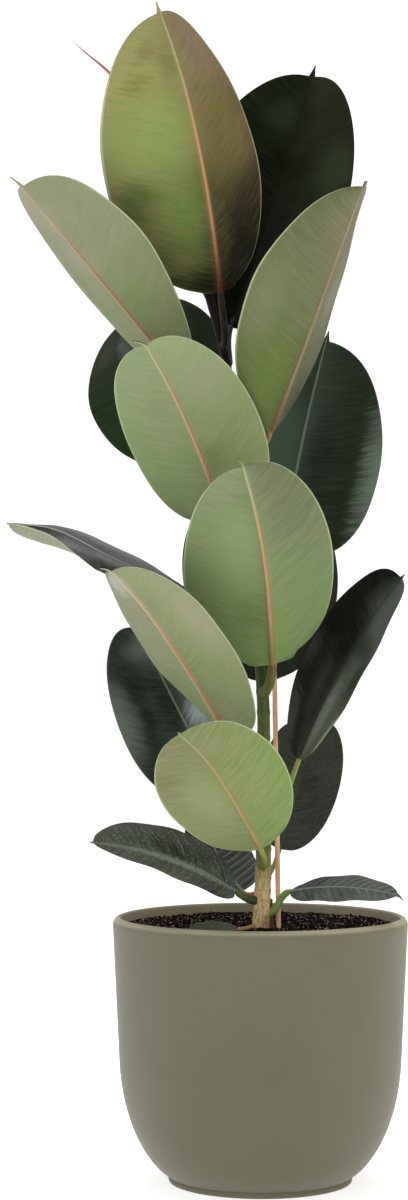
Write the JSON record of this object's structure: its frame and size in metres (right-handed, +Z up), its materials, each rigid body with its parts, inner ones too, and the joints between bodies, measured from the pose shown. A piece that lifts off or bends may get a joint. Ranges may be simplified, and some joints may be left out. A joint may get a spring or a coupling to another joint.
{
  "type": "potted rubber plant",
  "caption": "Potted rubber plant: upright leafy stem with broad oval leathery leaves and a pointed red sheath at its tip, beside a thin stake, in soil in a round tapered matte planter.",
  "frame": {"origin": "centre of the pot's flat base, on the surface it stands on", "axes": "+Z up along the pot's axis; the viewer's side is -Y, where most lower leaves turn their undersides; +X to the viewer's right"},
  "size_m": [0.3359, 0.4134, 0.9721],
  "materials": {
    "pot": "matte",
    "soil": "matte",
    "stem": "matte",
    "stake": "matte",
    "stem_stub": "matte",
    "apical_sheath": "satin",
    "leaf": "satin"
  },
  "bodies": {
    "root": {"pot": "pot", "soil": "soil", "stem": "stem", "stake": "stake", "stem_stub": "stem_stub", "apical_sheath": "apical_sheath", "leaf_01": "leaf", "leaf_02": "leaf", "leaf_03": "leaf", "leaf_04": "leaf", "leaf_05": "leaf", "leaf_06": "leaf", "leaf_07": "leaf", "leaf_08": "leaf", "leaf_09": "leaf", "leaf_10": "leaf", "leaf_11": "leaf", "leaf_12": "leaf", "leaf_13": "leaf", "leaf_14": "leaf", "leaf_15": "leaf", "leaf_16": "leaf", "leaf_17": "leaf", "leaf_18": "leaf", "leaf_19": "leaf"}
  },
  "joints": []
}
